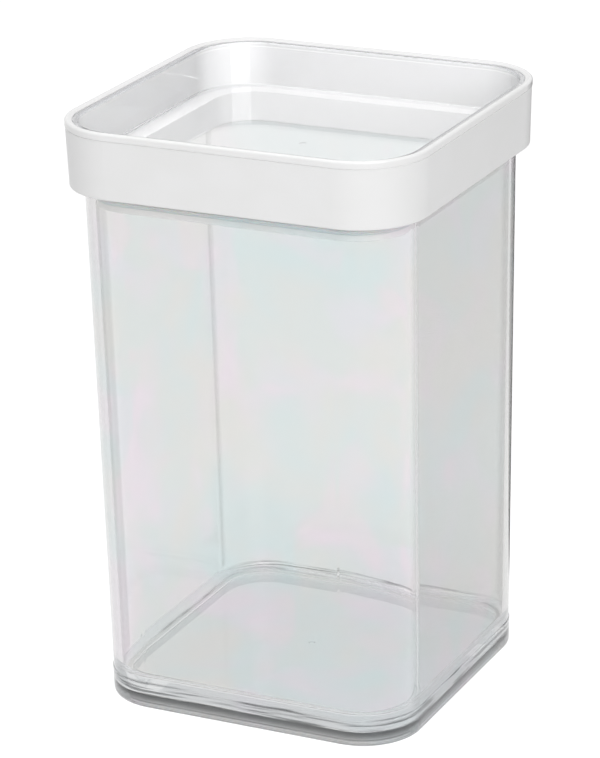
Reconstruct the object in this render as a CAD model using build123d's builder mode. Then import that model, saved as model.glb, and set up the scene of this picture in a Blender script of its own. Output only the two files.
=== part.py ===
from build123d import *
import os

# A tall square canister with a framed lid that presses into its mouth.
# Millimetres, +Z up. The origin is the middle of the base, on the surface that it stands on.
# Every outline is a square with round corners, given by half its width and by its corner radius.

# Canister, a clear moulding
canister_height = 153.7      # from the foot to the rim
base_width = 94.1            # across the flats at the foot
mouth_width = 97.8           # across the flats at the rim
canister_corner = 17.0       # corner radius, the same from foot to rim
canister_wall = 2.6
floor_top = 8.0              # inner floor above the foot
floor_round = 3.0            # where the floor runs up into the walls
rim_round = 0.8              # inner and outer edge of the rim
foot_height = 7.6            # the foot moulding, below a fine step in the wall
foot_step = 0.2              # how far the foot stands proud of the wall
foot_round = 1.2             # outer lower edge of the foot
foot_ring = 3.2              # width of the ring that the canister stands on
hollow_depth = 3.5           # the hollow inside the foot ring
hollow_round = 1.0

# Lid frame, a white moulding
lid_height = 19.0            # from the lower edge to the rim
lid_corner = 19.4            # corner radius of the rim
frame_wall = 2.1             # thickness of the frame at the rim
band_clearance = 2.0         # between the frame's wall and the canister's rim
band_inset = 0.15            # the band below the rim lies this far inside it
band_draft = 0.55            # and leans in by this much more at its lower edge
band_edge_round = 0.5
skirt_drop = 2.45            # how far the band hangs below the canister's rim
bead_flat = 0.5              # level part of the bead's top, as a share of the frame's wall
bead_roundness = 0.76        # outer round of the bead, as a share of that level part
bead_fall = 0.5              # from there the top falls by this much to its inner edge
bead_crown_round = 1.0       # where the fall starts
bead_inner_round = 0.3       # inner edge of the bead
bead_straight = 1.2          # upright side of the bead, below its outer round
crease_height = 0.25         # fine groove between band and bead
crease_depth = 0.2
flange = 1.4                 # rests on the canister's rim and carries the window
plug_depth = 7.5             # how far the plug goes down into the mouth
plug_clearance = 0.75        # between plug and canister wall, filled by the seal
plug_wall = 2.2
plug_round = 0.6

# Seal, a silicone ring in a groove round the plug
groove_drop = 1.6            # from the flange down to the groove
groove_height = 4.0
groove_depth = 1.0
seal_slack = 0.05            # between the seal and the groove
seal_clearance = 0.35        # between the lips at rest and the canister wall
lip_count = 2
lip_root = 1.0               # height of a lip where it leaves the ring
lip_tip = 0.4                # and at its tip

# Window, a clear tray that lies in the frame
window_floor = 1.95
window_wall = 1.45
window_gap = 0.05            # between the window and the frame, round it and under it
window_drop = 0.7            # from the rim down to the window's upper edge
window_edge_round = 0.4      # upper edge, on the side of the tray
window_rim_round = 0.15      # upper edge, on the side of the frame
window_floor_round = 0.5

# Dimple in the middle of a lower face, where the plastic came into the mould
gate_width = 1.8
gate_depth = 0.3

# Heights and half widths that follow
lid_bottom = canister_height - skirt_drop
lid_top = lid_bottom + lid_height
lid_width = mouth_width + 2 * (band_clearance + frame_wall)     # across the rim
bead_flat_width = bead_flat * frame_wall
bead_round = bead_roundness * bead_flat_width
bead_height = bead_round + bead_straight
flange_top = canister_height + flange
plug_bottom = canister_height - plug_depth


def wall_half(height):
    """Half the canister's outer width at a height: the walls lean out evenly."""
    lean = (mouth_width - base_width) / 2 / canister_height
    return base_width / 2 + lean * height


def rounded_square(half_width, radius, height):
    """A level outline with round corners."""
    with BuildSketch(Plane.XY.offset(height)) as outline:
        RectangleRounded(2 * half_width, 2 * half_width, radius)
    return outline.sketch


def way_round(half_width, radius):
    """A closed path round the square, from the middle of its +X side and back."""
    half_side = half_width - radius
    with BuildLine() as path:
        run = Line((half_width, 0), (half_width, half_side))
        for straight in (2 * half_side, 2 * half_side, 2 * half_side, half_side):
            turn = JernArc(run @ 1, run % 1, radius, 90)
            run = PolarLine(turn @ 1, straight, direction=turn % 1)
    return path.wire()


def gate_dimple(height):
    """Takes the dimple out of the lower face at a height."""
    with Locations((0, 0, height)):
        Cone(
            gate_width / 2,
            gate_width / 2 - gate_depth,
            gate_depth,
            align=(Align.CENTER, Align.CENTER, Align.MIN),
            mode=Mode.SUBTRACT,
        )


# The canister
foot_half_low = wall_half(0) + foot_step
foot_half_high = wall_half(foot_height) + foot_step
foot_corner = canister_corner + foot_step
hollow_inset = foot_round + foot_ring
cavity_half_low = wall_half(floor_top) - canister_wall
cavity_half_high = wall_half(canister_height) - canister_wall
cavity_corner = canister_corner - canister_wall

with BuildPart() as canister:
    loft([
        rounded_square(wall_half(0), canister_corner, 0),
        rounded_square(wall_half(canister_height), canister_corner, canister_height),
    ], ruled=True)
    loft([
        rounded_square(foot_half_low, foot_corner, 0),
        rounded_square(foot_half_high, foot_corner, foot_height),
    ], ruled=True)
    fillet(canister.faces().sort_by(Axis.Z)[0].edges(), radius=foot_round)
    # The hollow under the base
    extrude(
        rounded_square(foot_half_low - hollow_inset, foot_corner - hollow_inset, 0),
        amount=hollow_depth,
        mode=Mode.SUBTRACT,
    )
    hollow_edges = canister.edges().filter_by_position(Axis.Z, hollow_depth, hollow_depth)
    fillet(hollow_edges, radius=hollow_round)
    gate_dimple(hollow_depth)
    # The inside
    loft([
        rounded_square(cavity_half_low, cavity_corner, floor_top),
        rounded_square(cavity_half_high, cavity_corner, canister_height),
    ], ruled=True, mode=Mode.SUBTRACT)
    fillet(canister.edges().filter_by_position(Axis.Z, floor_top, floor_top), radius=floor_round)
    fillet(canister.faces().sort_by(Axis.Z)[-1].edges(), radius=rim_round)
canister.part.label = "container"

# The lid frame: a section for the band and its rim, a flange, and a section for the plug
rim_half = lid_width / 2
band_half_high = rim_half - band_inset
band_half_low = band_half_high - band_draft
frame_inner = rim_half - frame_wall
frame_inner_corner = lid_corner - frame_wall
bead_bottom = lid_top - bead_height
crease_bottom = bead_bottom - crease_height
crease_half = band_half_high - crease_depth
crown_half = rim_half - bead_flat_width
fall_bottom = lid_top - bead_fall
plug_half = cavity_half_high - plug_clearance
plug_corner = cavity_corner - plug_clearance
plug_inner = plug_half - plug_wall
groove_top = canister_height - groove_drop
groove_bottom = groove_top - groove_height
groove_half = plug_half - groove_depth
flange_overlap = frame_wall / 2

with BuildPart() as lid_frame:
    with BuildSketch(Plane.XZ) as band_section:
        with BuildLine():
            Polyline(
                (frame_inner, lid_bottom),
                (band_half_low, lid_bottom),
                (band_half_high, crease_bottom),
                (crease_half, crease_bottom),
                (crease_half, bead_bottom),
                (rim_half, bead_bottom),
                (rim_half, lid_top),
                (crown_half, lid_top),
                (frame_inner, fall_bottom),
                close=True,
            )
        make_face()
        outer_edge = band_section.vertices().group_by(Axis.Y)[-1].sort_by(Axis.X)[-1]
        fillet(outer_edge, radius=bead_round)
        crown = band_section.vertices().group_by(Axis.Y)[-1].sort_by(Axis.X)[0]
        fillet(crown, radius=bead_crown_round)
        inner_edge = band_section.vertices().group_by(Axis.X)[0].sort_by(Axis.Y)[-1]
        fillet(inner_edge, radius=bead_inner_round)
        fillet(band_section.vertices().group_by(Axis.Y)[0], radius=band_edge_round)
    sweep(path=way_round(rim_half, lid_corner))
    with BuildSketch(Plane.XZ) as plug_section:
        with BuildLine():
            Polyline(
                (plug_inner, plug_bottom),
                (plug_half, plug_bottom),
                (plug_half, groove_bottom),
                (groove_half, groove_bottom),
                (groove_half, groove_top),
                (plug_half, groove_top),
                (plug_half, flange_top),
                (plug_inner, flange_top),
                close=True,
            )
        make_face()
        fillet(plug_section.vertices().group_by(Axis.Y)[0], radius=plug_round)
    sweep(path=way_round(plug_half, plug_corner))
    # The flange reaches from the band to the plug's inner face
    with BuildSketch(Plane.XY.offset(canister_height)) as flange_outline:
        add(rounded_square(frame_inner + flange_overlap, frame_inner_corner + flange_overlap, 0))
        add(rounded_square(plug_inner, plug_corner - plug_wall, 0), mode=Mode.SUBTRACT)
    extrude(amount=flange)
lid_frame.part.label = "lid_frame"

# The seal: a flat ring with lips that point at the canister's wall
seal_inner = groove_half + seal_slack
seal_bottom = groove_bottom + seal_slack
seal_height = groove_height - 2 * seal_slack
seal_thickness = plug_half - seal_inner
lip_reach = wall_half(groove_bottom) - canister_wall - seal_clearance - plug_half
lip_pitch = seal_height / lip_count

with BuildPart() as lid_seal:
    with BuildSketch(Plane.XZ) as seal_section:
        with Locations((seal_inner, seal_bottom)):
            Rectangle(seal_thickness, seal_height, align=(Align.MIN, Align.MIN))
        with Locations((plug_half, seal_bottom + seal_height / 2)):
            with GridLocations(1, lip_pitch, 1, lip_count):
                Polygon(
                    (-seal_thickness / 2, -lip_root / 2),
                    (0, -lip_root / 2),
                    (lip_reach, -lip_tip / 2),
                    (lip_reach, lip_tip / 2),
                    (0, lip_root / 2),
                    (-seal_thickness / 2, lip_root / 2),
                    align=None,
                )
    sweep(path=way_round(plug_half, plug_corner))
lid_seal.part.label = "lid_seal"

# The window
window_half = frame_inner - window_gap
window_corner = frame_inner_corner - window_gap
window_top = lid_top - window_drop
window_bottom = flange_top + window_gap
tray_floor = window_bottom + window_floor

with BuildPart() as lid_window:
    extrude(
        rounded_square(window_half, window_corner, window_bottom),
        amount=window_top - window_bottom,
    )
    fillet(lid_window.faces().sort_by(Axis.Z)[0].edges(), radius=window_floor_round)
    extrude(
        rounded_square(window_half - window_wall, window_corner - window_wall, tray_floor),
        amount=window_top - tray_floor,
        mode=Mode.SUBTRACT,
    )
    fillet(
        lid_window.edges().filter_by_position(Axis.Z, tray_floor, tray_floor),
        radius=window_floor_round,
    )
    tray_edge = lid_window.faces().sort_by(Axis.Z)[-1].inner_wires()[0].edges()
    fillet(tray_edge, radius=window_edge_round)
    rim_edge = lid_window.faces().sort_by(Axis.Z)[-1].outer_wire().edges()
    fillet(rim_edge, radius=window_rim_round)
    gate_dimple(window_bottom)
lid_window.part.label = "lid_window"

os.makedirs("parts", exist_ok=True)
for piece in (canister, lid_frame, lid_window, lid_seal):
    export_step(piece.part, f"parts/{piece.part.label}.step")
    print(piece.part.label, "volume", round(piece.part.volume), "mm3, valid", piece.part.is_valid)
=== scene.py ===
# %% [markdown]
# # A clear canister with a framed lid
# Four moulded pieces make this object: a tall clear canister, a white frame, a clear window that lies
# in the frame, and a soft ring that closes the gap. Their shapes come from a CAD model, so this lesson
# is about their finishes. Clear plastic is all reflection and refraction, so the studio around it
# matters as much as the shader. Everything is in metres, with the origin under the base.

# %% Load the pieces
import math

import bpy
from mathutils import Matrix, Vector


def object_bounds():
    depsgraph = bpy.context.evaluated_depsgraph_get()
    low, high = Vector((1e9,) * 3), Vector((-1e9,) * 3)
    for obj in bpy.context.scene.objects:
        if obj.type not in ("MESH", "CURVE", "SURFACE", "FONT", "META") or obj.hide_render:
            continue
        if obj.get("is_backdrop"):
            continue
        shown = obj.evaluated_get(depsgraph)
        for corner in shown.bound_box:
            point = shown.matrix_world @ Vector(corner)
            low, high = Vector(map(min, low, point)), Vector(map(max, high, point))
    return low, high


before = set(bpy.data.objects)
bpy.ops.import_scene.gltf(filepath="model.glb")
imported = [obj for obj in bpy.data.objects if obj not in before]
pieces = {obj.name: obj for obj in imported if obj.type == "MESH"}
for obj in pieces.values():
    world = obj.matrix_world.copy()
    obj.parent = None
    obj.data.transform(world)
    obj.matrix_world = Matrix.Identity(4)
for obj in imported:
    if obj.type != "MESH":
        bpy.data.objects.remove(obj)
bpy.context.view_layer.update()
print("pieces:", sorted(pieces))

# %% [markdown]
# ## Small helpers
# A material is a web of nodes. Written out node by node it takes pages, so `place` adds one node and
# fills its inputs, each with a plain value or with a link from another node. `start_group` opens a
# node group, which is how several materials share one effect, each with its own values. A sum and a
# smooth climb between two levels come back most, so each of them has a helper too.

# %% Helpers for nodes
def place(tree, kind, inputs=None, **options):
    """Adds a node, sets its options and fills its inputs with values or links."""
    made = tree.nodes.new("ShaderNode" + kind)
    for name, value in options.items():
        setattr(made, name, value)
    for name, value in (inputs or {}).items():
        if isinstance(value, bpy.types.NodeSocket):
            tree.links.new(value, made.inputs[name])
        else:
            made.inputs[name].default_value = value
    return made


def start_group(name, inputs, outputs):
    """Opens a shader node group. Inputs and outputs map a name to a starting value."""
    group = bpy.data.node_groups.new(name, "ShaderNodeTree")
    for sockets, side in ((inputs, "INPUT"), (outputs, "OUTPUT")):
        for label, start in sockets.items():
            kind = "NodeSocketFloat" if isinstance(start, float) else "NodeSocketColor"
            socket = group.interface.new_socket(label, in_out=side, socket_type=kind)
            socket.default_value = start
    return group, group.nodes.new("NodeGroupInput").outputs, group.nodes.new("NodeGroupOutput").inputs


def math_node(tree, operation, *values, clamp=False):
    """One sum on numbers or links, and gives its result."""
    return place(tree, "Math", dict(enumerate(values)), operation=operation, use_clamp=clamp).outputs[0]


def ramp(tree, value, low, high, to_low=0.0, to_high=1.0):
    """Runs smoothly from to_low to to_high while value goes from low to high."""
    levels = {"Value": value, "From Min": low, "From Max": high, "To Min": to_low, "To Max": to_high}
    return place(tree, "MapRange", levels, interpolation_type="SMOOTHSTEP").outputs["Result"]


# %% [markdown]
# ## Skin of a moulding
# Moulded plastic is never a perfect plane. Polished parts carry long, very low waves from cooling, and
# satin parts the fine grain that was etched into the mould. A displacement modifier could make both,
# but they are hundredths of a millimetre deep, so a bump is the right tool. One group holds both, and
# each material says how much of each it wants.

# %% Group: moulded skin
skin, given, out = start_group(
    "moulded_skin",
    {"Wave Size": 0.02, "Wave Depth": 1.0, "Grain Size": 0.0004, "Grain Depth": 0.0},
    {"Height": 0.0, "Mottle": 0.0},
)
place_of = place(skin, "TexCoord").outputs["Object"]
waves = place(skin, "TexNoise", {
    "Vector": place_of, "Scale": math_node(skin, "DIVIDE", 1.0, given["Wave Size"]), "Detail": 1.0,
}).outputs["Fac"]
grain = place(skin, "TexNoise", {
    "Vector": place_of, "Scale": math_node(skin, "DIVIDE", 1.0, given["Grain Size"]), "Detail": 2.0,
}).outputs["Fac"]
mottle = place(skin, "TexNoise", {"Vector": place_of, "Scale": 55.0, "Detail": 4.0}).outputs["Fac"]
wave_height = math_node(skin, "MULTIPLY", waves, given["Wave Depth"])
grain_height = math_node(skin, "MULTIPLY", grain, given["Grain Depth"])
skin.links.new(math_node(skin, "ADD", wave_height, grain_height), out["Height"])
skin.links.new(mottle, out["Mottle"])
print("group:", skin.name, "with", len(skin.nodes), "nodes")

# %% [markdown]
# ## Marks of use
# A kitchen container is wiped, washed and stacked, and that leaves hair-fine arcs on gloss. They show
# only where they catch a light, so they go into roughness and not into colour. Stretched noise gives
# broken hairs: two layers, turned against each other, and kept only at their thin crests.

# %% Group: fine hairlines
hairs, given, out = start_group("fine_hairlines", {"Amount": 0.3}, {"Mask": 0.0})
place_of = place(hairs, "TexCoord").outputs["Object"]
layers = []
for turn, stretch in ((0.35, (900.0, 60.0, 260.0)), (-0.8, (70.0, 800.0, 300.0))):
    turned = place(hairs, "Mapping", {
        "Vector": place_of, "Rotation": (turn, turn, turn), "Scale": stretch,
    })
    streaks = place(hairs, "TexNoise", {"Vector": turned.outputs["Vector"], "Scale": 1.0, "Detail": 3.0})
    layers.append(ramp(hairs, streaks.outputs["Fac"], 0.62, 0.72))
both = math_node(hairs, "MAXIMUM", *layers)
hairs.links.new(math_node(hairs, "MULTIPLY", both, given["Amount"], clamp=True), out["Mask"])
print("group:", hairs.name, "with", len(hairs.nodes), "nodes")

# %% [markdown]
# ## Where on the square
# All outlines here are squares with round corners, one inside another. The group measures how far a
# point lies outside the square that joins the corner centres, so a finish can follow the ring of the
# band, the foot or the window without any painted mask. Corner grows only where the outline is round,
# because there a point lies outside that square both ways.

# %% Group: distance across the rings
rings, given, out = start_group(
    "square_rings", {"Half Side": 0.0337}, {"Distance": 0.0, "Corner": 0.0, "Height": 0.0})
axes = place(rings, "SeparateXYZ", {"Vector": place(rings, "TexCoord").outputs["Object"]}).outputs
beyond = [
    math_node(rings, "MAXIMUM", math_node(rings, "SUBTRACT", math_node(rings, "ABSOLUTE", axes[side]),
                                          given["Half Side"]), 0.0)
    for side in ("X", "Y")
]
squares = [math_node(rings, "MULTIPLY", side, side) for side in beyond]
rings.links.new(math_node(rings, "SQRT", math_node(rings, "ADD", *squares)), out["Distance"])
rings.links.new(math_node(rings, "MINIMUM", *beyond), out["Corner"])
rings.links.new(axes["Z"], out["Height"])
print("group:", rings.name, "with", len(rings.nodes), "nodes")

# %% [markdown]
# ## Colour that drifts, and painted sheen
# Clear plastic holds stress from the mould, and in studio light it shows as faint blue, rose and
# yellow clouds. On the canister these clouds are a painted sheen in its colour. White plastic drifts
# too, a little warmer where it flowed last, and that is its own tone. Both are two slow noises that
# mix three close colours.

# %% Group: drifting colour and painted sheen
def grey(level):
    """An opaque grey, as the colour inputs of nodes take it."""
    return (level, level, level, 1.0)


def mix_colours(tree, share, one, other, blend="MIX"):
    """Goes from one colour to the other as share goes from 0 to 1."""
    factor, first, second, result = 0, 6, 7, 2      # the Mix node's colour sockets, by number
    return place(tree, "Mix", {factor: share, first: one, second: other},
                 data_type="RGBA", blend_type=blend).outputs[result]


drift_and_sheen, given, out = start_group(
    "colour_drift_and_sheen",
    {"One": grey(0.9), "Other": grey(0.8), "Third": grey(0.85), "Cloud Size": 0.05},
    {"Color": grey(0.9)},
)
place_of = place(drift_and_sheen, "TexCoord").outputs["Object"]
mixed = given["One"]
for times, low, high, colour in ((1.0, 0.4, 0.6, given["Other"]), (1.3, 0.5, 0.65, given["Third"])):
    clouds = place(drift_and_sheen, "TexNoise", {
        "Vector": place_of, "Scale": math_node(drift_and_sheen, "DIVIDE", times, given["Cloud Size"]),
        "Detail": 1.5, "Distortion": 0.6,
    }).outputs["Fac"]
    mixed = mix_colours(drift_and_sheen, ramp(drift_and_sheen, clouds, low, high), mixed, colour)
drift_and_sheen.links.new(mixed, out["Color"])
print("group:", drift_and_sheen.name, "with", len(drift_and_sheen.nodes), "nodes")

# %% [markdown]
# ## Starting a finish
# Each finish is a Principled shader. A material starts the same way each time: an empty web, the
# shader, and the shared skin whose height goes through a bump into its normal. Wave and grain depth
# are shares of the bump's own height.

# %% Start a material with a skin
def group_in(tree, group, **inputs):
    """Places a group with its inputs filled. Their names have underscores for spaces here."""
    named = {name.replace("_", " "): value for name, value in inputs.items()}
    return place(tree, "Group", named, node_tree=group)


def empty_web(owner):
    """Clears the nodes of a material or a world, and returns its web."""
    owner.use_nodes = True
    owner.node_tree.nodes.clear()
    return owner.node_tree


def start_finish(name, wave_size, wave_depth, grain_size, grain_depth, bump):
    """A material with a Principled shader over the moulded skin. Returns both, its web and the skin."""
    finish = bpy.data.materials.new(name)
    tree = empty_web(finish)
    made = group_in(tree, skin, Wave_Size=wave_size, Wave_Depth=wave_depth,
                    Grain_Size=grain_size, Grain_Depth=grain_depth)
    normal = place(tree, "Bump", {"Height": made.outputs["Height"], "Distance": bump, "Strength": 1.0})
    shader = place(tree, "BsdfPrincipled", {"Normal": normal.outputs["Normal"]})
    return finish, tree, shader, made


def show(tree, shader):
    """Sends the shader to the material's output."""
    tree.links.new(shader.outputs[0], place(tree, "OutputMaterial").inputs["Surface"])


# %% [markdown]
# ## Painted shade in the canister's base
# The base is where clear plastic looks busiest. The foot is a ring of plastic that light crosses many
# times, and its colour carries painted shade: darkest at its top and paler towards the floor, with a
# thin painted dark line in its lower round. The slab above it carries painted streaks of shade, where
# light has run through it from side to side.

# %% Mask of painted shade in the base
# Painted shade: the foot is darkest at its top, with a thin dark line in its lower round, and the slab
# has dark streaks.
foot_shade_heights = (-0.003, 0.0042)     # heights over which the foot's tint deepens
hollow_top = (0.0044, 0.0046)       # over which the foot gives way to the slab
slab_top = (0.0078, 0.0086)         # and the slab to the inside
line_rise, line_fall = (0.0004, 0.0007), (0.0009, 0.0013)       # the line in the foot's lower round
ring_begins = (0.0116, 0.0119)      # distance across the rings where the foot's ring begins


def between(tree, value, rise, fall, top=1.0):
    """Runs up to top over the two values of rise, and down again over the two values of fall."""
    climb = ramp(tree, value, *rise, 0.0, top)
    return math_node(tree, "MULTIPLY", climb, ramp(tree, value, *fall, 1.0, 0.0))


def paint_base_shade(tree, where):
    """How much painted shade deepens the tint in the foot, along the line in its round and in the slab's
    streaks.
    """
    height = where["Height"]
    # Painted shade in the foot, and a painted dark line in its lower round.
    foot = between(tree, height, foot_shade_heights, hollow_top)
    foot_shade_line = between(tree, height, line_rise, line_fall, 0.9)
    # Painted streaks of shade in the slab, from stretched noise.
    flattened = place(tree, "Mapping", {
        "Vector": place(tree, "TexCoord").outputs["Object"], "Scale": (45.0, 45.0, 1300.0),
    }).outputs["Vector"]
    noise = place(tree, "TexNoise", {"Vector": flattened, "Scale": 1.0, "Detail": 2.0}).outputs["Fac"]
    streaks = ramp(tree, noise, 0.44, 0.62, 0.0, 0.95)
    slab = between(tree, height, hollow_top, slab_top, streaks)
    deepest_shade = math_node(tree, "MAXIMUM", math_node(tree, "MAXIMUM", foot, foot_shade_line), slab)
    return math_node(tree, "MULTIPLY", ramp(tree, where["Distance"], *ring_begins), deepest_shade)


# %% [markdown]
# ## Painted shade at the edges of clear plastic
# In a white studio a clear piece would nearly vanish. A real one is drawn by its edges, where light
# enters at a slant, runs a long way inside the corner and meets the darker parts of the room. Here
# that shade is painted into the colour. Layer Weight tells how slanted a face is seen, and the painted
# shade deepens the tint with it: most at the very edge, less in the round corners and on the flat
# outer walls.

# %% Mask of painted edge shade
canister_square = 0.03005           # half side of the square through the canister's corner centres
wall_lean = 0.012                   # the canister's walls lean out by this share of the height
canister_wall = (0.0155, 0.016)     # distance across the rings, less the lean, inside the wall
edge_slant, corner_slant, wall_slant = (0.75, 0.95), (0.38, 0.54), (0.4, 0.6)       # 1 is edge on
corner_share, wall_share = 0.5, 0.57        # how deep the tint gets there, as shares of its edge


def paint_edge_shade(tree, where, flank_from, edge):
    """Painted shade up to edge, where a face further out than flank_from is seen at a slant."""
    # Painted shade on slanted faces: deepest at the very edge, less in round corners and on the outer
    # walls.
    slant = place(tree, "LayerWeight", {"Blend": 0.5}).outputs["Facing"]
    edge_shade = ramp(tree, slant, *edge_slant, 0.0, edge)
    corner_shade = math_node(tree, "MULTIPLY", ramp(tree, where["Corner"], 0.0, 0.0015),
                          ramp(tree, slant, *corner_slant, 0.0, corner_share * edge))
    on_flank = ramp(tree, where["Distance"], flank_from, flank_from + 0.0005)
    leaning = math_node(tree, "MULTIPLY", where["Height"], wall_lean)
    outside = ramp(tree, math_node(tree, "SUBTRACT", where["Distance"], leaning), *canister_wall)
    wall_shade = math_node(tree, "MULTIPLY", outside, ramp(tree, slant, *wall_slant, 0.0, wall_share * edge))
    painted_shade = math_node(tree, "MULTIPLY", on_flank, math_node(tree, "MAXIMUM", edge_shade, corner_shade))
    return math_node(tree, "MAXIMUM", painted_shade, wall_shade)


# %% [markdown]
# ## Clear plastic
# The canister and the window are clear. Real refraction needs closed walls of true thickness, which
# the CAD model has, and a full Transmission Weight. Plastic of this kind bends light a little more than
# window glass, and Volume Absorption takes a little of the light that runs inside it. The roughness
# rises a little in clouds and hairlines. At the window's upper edge the tint is lifted to plain white,
# a painted light for the light that falls straight into that edge. Painted shade deepens the tint at
# slanted edges and in the canister's base.
#
# Two kinds of rays meet a Transparent shader instead. Lamps can't shine through refraction, so shadow
# rays pass, tinted as the wall is. And rays that have been thrown to and fro inside the plastic more
# than three times go straight on, because they would run out of bounces and end as black.

# %% Finish: clear plastic
# Painted light: from these heights up, the window's tint goes to plain white.
window_rim_painted_light = (0.1688, 0.1693)      # heights over which the window's upper edge begins
# The colour of painted shade, mixed into the tint at slanted edges and in the base.
painted_shade_tint = (0.05, 0.052, 0.054, 1.0)
inside_tint = (0.9, 0.91, 0.915, 1.0)
last_bounce = 3.5                   # deeper rays than this go straight on


def clear_plastic(name, tints, hair_amount, shadow, absorption, flank_from, edge, painted_base_shade=None):
    """A clear moulded finish that drifts between three close tints, with painted shade at its edges and
    in the canister's base, and painted light at the window's upper edge.
    """
    finish, tree, shader, made = start_finish(
        name, wave_size=0.022, wave_depth=1.0, grain_size=0.001, grain_depth=0.0, bump=0.00001)
    one, other, third = tints
    tint = group_in(tree, drift_and_sheen, One=one, Other=other, Third=third, Cloud_Size=0.032).outputs["Color"]
    marks = group_in(tree, hairs, Amount=hair_amount)
    rough = ramp(tree, made.outputs["Mottle"], 0.4, 0.7, 0.012, 0.024)
    rough = math_node(tree, "ADD", rough, math_node(tree, "MULTIPLY", marks.outputs["Mask"], 0.05))
    tree.links.new(rough, shader.inputs["Roughness"])

    where = group_in(tree, rings, Half_Side=canister_square).outputs
    # Painted shade at slanted edges, and in the base where a base mask is given.
    painted_shade = paint_edge_shade(tree, where, flank_from, edge)
    if painted_base_shade:
        painted_shade = math_node(tree, "MAXIMUM", painted_shade, painted_base_shade(tree, where))
    # Painted light at the window's upper edge, then the painted shade.
    tint = mix_colours(tree, ramp(tree, where["Height"], *window_rim_painted_light), tint, grey(1.0))
    tint = mix_colours(tree, painted_shade, tint, painted_shade_tint, "MULTIPLY")
    tree.links.new(tint, shader.inputs["Base Color"])
    shader.inputs["IOR"].default_value = 1.56
    shader.inputs["Transmission Weight"].default_value = 1.0

    through = place(tree, "BsdfTransparent", {"Color": shadow})
    rays = place(tree, "LightPath").outputs
    late = math_node(tree, "GREATER_THAN", rays["Ray Depth"], last_bounce)
    passing = math_node(tree, "MAXIMUM", rays["Is Shadow Ray"], late)
    show(tree, place(tree, "MixShader", {0: passing, 1: shader.outputs[0], 2: through.outputs[0]}))
    depth = place(tree, "VolumeAbsorption", {"Color": inside_tint, "Density": absorption})
    tree.links.new(depth.outputs[0], tree.nodes["Material Output"].inputs["Volume"])
    return finish


# The canister's tints: blue, rose and yellow clouds of painted sheen.
painted_sheen_tints = ((0.834, 0.829, 0.815, 1.0), (0.785, 0.838, 0.838, 1.0), (0.86, 0.82, 0.85, 1.0))
clear_canister = clear_plastic(
    "clear_canister", painted_sheen_tints, hair_amount=0.25, shadow=(0.9, 0.905, 0.91, 1.0), absorption=20.0,
    flank_from=0.0135, edge=0.85, painted_base_shade=paint_base_shade)
near_white = ((0.918, 0.918, 0.919, 1.0), (0.921, 0.919, 0.919, 1.0), (0.92, 0.92, 0.916, 1.0))
clear_window = clear_plastic(
    "clear_window", near_white, hair_amount=0.35, shadow=(0.93, 0.93, 0.935, 1.0), absorption=40.0,
    flank_from=0.019, edge=0.1)
print("clear finishes:", clear_canister.name, clear_window.name)

# %% [markdown]
# ## White frame
# One moulding with three finishes. The bead at the top is polished, and the band below the fine crease
# was given a satin grain in the mould. Inside, where the window is joined to it, the frame is matt. The
# height and the ring group tell the three apart. The crease itself has painted light: its colour is a
# shade paler, which lightens the shade that falls in that step.

# %% Finish: white frame
crease_bottom, crease_top = 0.168, 0.16825
frame_square = 0.0337               # half side of the square through the frame's corner centres
frame_wall = (0.0174, 0.0182)       # distance across the rings, inside the wall
polished, band_rough, inside_rough = 0.16, 0.42, 0.75
white_frame, tree, shader, made = start_finish(
    "white_frame", wave_size=0.018, wave_depth=0.25, grain_size=0.00022, grain_depth=0.1, bump=0.00006)
where = group_in(tree, rings, Half_Side=frame_square).outputs
height = where["Height"]
satin = ramp(tree, height, crease_bottom, crease_top, 1.0, 0.0)
dull = ramp(tree, where["Distance"], *frame_wall, inside_rough, band_rough)
rough = math_node(tree, "ADD", math_node(tree, "MULTIPLY", satin, dull),
                  ramp(tree, satin, 0.0, 1.0, polished, 0.0))
rough = math_node(tree, "ADD", rough, ramp(tree, made.outputs["Mottle"], 0.35, 0.7, 0.0, 0.04))
rough = math_node(tree, "ADD", rough, math_node(
    tree, "MULTIPLY", group_in(tree, hairs, Amount=0.4).outputs["Mask"], 0.05))
tree.links.new(rough, shader.inputs["Roughness"])
tree.links.new(ramp(tree, satin, 0.0, 1.0, 0.03, 0.1), made.inputs["Grain Depth"])
white = group_in(tree, drift_and_sheen, One=(0.825, 0.825, 0.827, 1.0), Other=(0.808, 0.808, 0.806, 1.0),
                 Third=(0.817, 0.816, 0.817, 1.0), Cloud_Size=0.03).outputs["Color"]
# Painted light: the crease is a shade paler, lightening the shade in that step.
crease_painted_light = between(tree, height, (crease_bottom - 0.00003, crease_bottom + 0.00001),
                    (crease_top - 0.00001, crease_top + 0.00003))
tree.links.new(mix_colours(tree, crease_painted_light, white, grey(0.97)), shader.inputs["Base Color"])
shader.inputs["IOR"].default_value = 1.49
show(tree, shader)
print("finish:", white_frame.name)

# %% [markdown]
# ## Silicone ring
# Silicone is soft, milky and slightly dull. Light enters and scatters, so it takes a little
# subsurface. It has a fine dusty look on its skin, which is a small grain with high roughness.

# %% Finish: silicone
seal_silicone, tree, shader, made = start_finish(
    "seal_silicone", wave_size=0.01, wave_depth=0.3, grain_size=0.0003, grain_depth=0.2, bump=0.00005)
milk = group_in(tree, drift_and_sheen, One=(0.74, 0.755, 0.77, 1.0), Other=(0.7, 0.71, 0.72, 1.0),
                Third=(0.72, 0.735, 0.75, 1.0), Cloud_Size=0.012)
tree.links.new(milk.outputs["Color"], shader.inputs["Base Color"])
tree.links.new(ramp(tree, made.outputs["Mottle"], 0.3, 0.7, 0.38, 0.52), shader.inputs["Roughness"])
shader.inputs["Subsurface Weight"].default_value = 0.3
shader.inputs["Subsurface Scale"].default_value = 0.002
shader.inputs["IOR"].default_value = 1.41
show(tree, shader)
print("finish:", seal_silicone.name)

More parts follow.
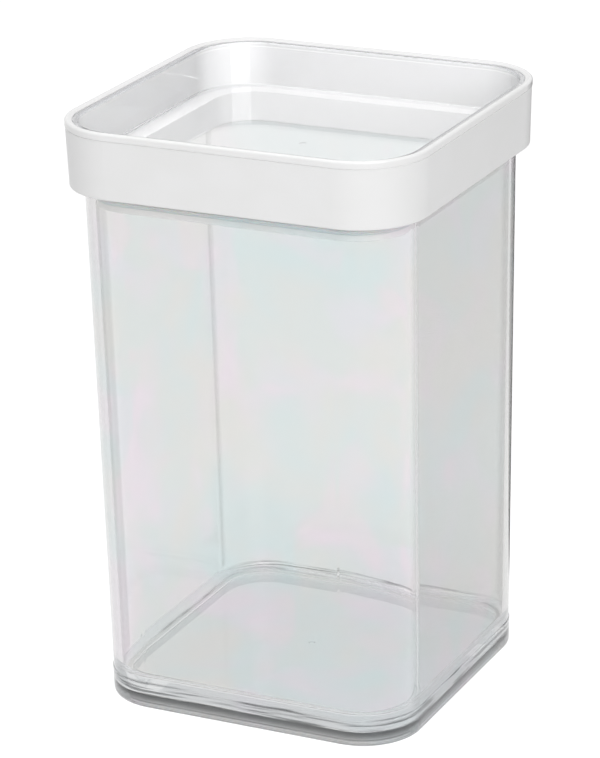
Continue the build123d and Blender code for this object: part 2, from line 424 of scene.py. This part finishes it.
# %% [markdown]
# ## Dressing the pieces
# Every piece is one moulding of one plastic, so it wears one finish all over. The plain material that
# it brought from the CAD model comes off first.

# %% Put the finishes on the pieces
finishes = {
    "container": clear_canister,
    "lid_frame": white_frame,
    "lid_window": clear_window,
    "lid_seal": seal_silicone,
}
for name, finish in finishes.items():
    piece = pieces[name]
    piece.data.materials.clear()
    piece.data.materials.append(finish)
    print(name, "has", len(piece.data.polygons), "faces and wears", finish.name)

# %% [markdown]
# ## The studio
# The object stands on a pale floor under two soft boxes, one in front to the right and one overhead.
# The picture behind it should be plain white, but white light from all sides would wash the object
# out. So what the camera sees of floor and world, by itself or through the plastic, is brighter than
# the light that they give.

# %% Rays that see the background
def seen_rays(tree):
    """1 for rays of the camera, of reflections and of refractions, 0 for scattered light."""
    rays = place(tree, "LightPath").outputs
    seen = math_node(tree, "MAXIMUM", rays["Is Camera Ray"], rays["Is Glossy Ray"])
    return math_node(tree, "MAXIMUM", seen, rays["Is Transmission Ray"])


# %% [markdown]
# ## The floor
# The floor is matt and pale. The lamps fade with distance, so where the floor is seen it glows by
# itself, and more so further out. That keeps the picture white up to its edges.

# %% The floor
floor_side, floor_drop, floor_grid = 8.0, 0.0002, 8
bpy.ops.mesh.primitive_grid_add(
    size=floor_side, x_subdivisions=floor_grid, y_subdivisions=floor_grid, location=(0, 0, -floor_drop))
floor = bpy.context.object
floor.name = "floor"
pale = bpy.data.materials.new("pale_floor")
tree = empty_web(pale)
matt = place(tree, "BsdfDiffuse", {"Color": grey(0.8)})
shaded = place(tree, "BsdfDiffuse", {"Color": grey(0.72)})
away = group_in(tree, rings, Half_Side=0.0).outputs["Distance"]
glow_rises = (0.3, 1.6)                     # distances from the middle
near_glow, far_glow = 0.46, 0.7
glow = place(tree, "Emission", {
    "Color": grey(1.0), "Strength": ramp(tree, away, *glow_rises, near_glow, far_glow),
})
lit = place(tree, "AddShader", {0: shaded.outputs[0], 1: glow.outputs[0]})
plain_floor = place(tree, "MixShader", {0: seen_rays(tree), 1: matt.outputs[0], 2: lit.outputs[0]})
print("floor:", floor_side, "m wide")

# %% [markdown]
# ## A dark card
# Photographers lay a dark card beside clear plastic, out of the picture, so that an edge reflects it
# and shows as a thin dark line. Here it is a sector of the floor behind the object, to the right, that
# is dark for reflections alone.

# %% The dark card
card_begins = (0.07, 0.08)                  # distances from the middle
card_rise, card_fall = (1.12, 1.22), (1.75, 1.85)       # turns round it, in radians
axes = place(tree, "SeparateXYZ", {"Vector": place(tree, "TexCoord").outputs["Object"]}).outputs
turn = math_node(tree, "ARCTAN2", axes["Y"], axes["X"])
sector = between(tree, turn, card_rise, card_fall)
rays = place(tree, "LightPath").outputs
reflected = math_node(tree, "SUBTRACT", rays["Is Glossy Ray"], rays["Is Transmission Ray"], clamp=True)
on_card = math_node(tree, "MULTIPLY", sector, ramp(tree, away, *card_begins))
card = math_node(tree, "MULTIPLY", reflected, on_card)
dark = place(tree, "BsdfDiffuse", {"Color": grey(0.1)})
show(tree, place(tree, "MixShader", {0: card, 1: plain_floor.outputs[0], 2: dark.outputs[0]}))
floor.data.materials.append(pale)
floor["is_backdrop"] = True
print(floor.name, "wears", pale.name)

# %% [markdown]
# ## The world
# The world stands for the far walls and the ceiling. It gives a soft light from all sides, and where it
# is seen it is plain white.

# %% The world
world = bpy.data.worlds.new("studio")
bpy.context.scene.world = world
tree = empty_web(world)
soft = place(tree, "Background", {"Color": grey(1.0), "Strength": 0.46})
plain = place(tree, "Background", {"Color": grey(1.0), "Strength": 1.0})
sky = place(tree, "MixShader", {0: seen_rays(tree), 1: soft.outputs[0], 2: plain.outputs[0]})
tree.links.new(sky.outputs[0], place(tree, "OutputWorld").inputs["Surface"])
print("world:", world.name)

# %% [markdown]
# ## Soft boxes
# A soft box is a large lamp behind cloth. Its size gives the broad highlights with soft ends that
# glossy plastic shows in a studio. Two plain area lamps do the same.

# %% Soft boxes
middle = Vector((0.0, 0.0, 0.09))


def soft_box(name, where, width, height, watts):
    """A rectangular lamp that faces the middle of the object."""
    lamp = bpy.data.lights.new(name, "AREA")
    lamp.shape = "RECTANGLE"
    lamp.size, lamp.size_y, lamp.energy = width, height, watts
    box = bpy.data.objects.new(name, lamp)
    box.location = where
    box.rotation_euler = (middle - Vector(where)).to_track_quat("-Z", "Y").to_euler()
    bpy.context.scene.collection.objects.link(box)
    print(name, "gives", watts, "watts")


soft_box("key_box", where=(0.8, -0.95, 0.85), width=1.05, height=1.05, watts=9.0)
soft_box("top_box", where=(-0.15, -0.35, 1.6), width=1.2, height=1.2, watts=10.5)

# %% [markdown]
# ## The camera
# The picture was taken with a long lens from about a metre, a little above the lid and turned
# 26 degrees round the object. The numbers come from the slant of the lid's edges and of the walls.

# %% The camera
azimuth, elevation, roll = math.radians(26.121), math.radians(20.159), math.radians(1.311)
distance = 1.02112
lens, sensor = 171.95, 36.0                 # in millimetres
target_height, target_aside = 0.0875, -0.002228
level = Vector((math.cos(azimuth), math.sin(azimuth), 0.0))
target = Vector((target_aside * level.x, target_aside * level.y, target_height))
back = Vector((
    math.sin(azimuth) * math.cos(elevation),
    -math.cos(azimuth) * math.cos(elevation),
    math.sin(elevation),
))
upward = back.cross(level)
right = math.cos(roll) * level - math.sin(roll) * upward
up = math.sin(roll) * level + math.cos(roll) * upward
lens_data = bpy.data.cameras.new("camera")
lens_data.lens, lens_data.sensor_width = lens, sensor
lens_data.clip_start, lens_data.clip_end = 0.05, 50.0
camera = bpy.data.objects.new("camera", lens_data)
camera.matrix_world = Matrix.Translation(target + distance * back) @ Matrix(
    (right, up, back)).transposed().to_4x4()
bpy.context.scene.collection.objects.link(camera)
bpy.context.scene.camera = camera
print("camera at", [round(x, 3) for x in camera.location])

# %% [markdown]
# ## Colours as they are
# The Standard view shows each grey as it was lit, without the film curve that other views add. White
# plastic on white needs that, because its edges differ by a few greys only.

# %% Colours as they are
view = bpy.context.scene.view_settings
view.view_transform = "Standard"
print("view:", view.view_transform)

# %% [markdown]
# ## Sizes, and the end
# Finishes add no thickness, so the dressed pieces fill the same box as the CAD model.

# %% Sizes, and the end
low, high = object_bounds()
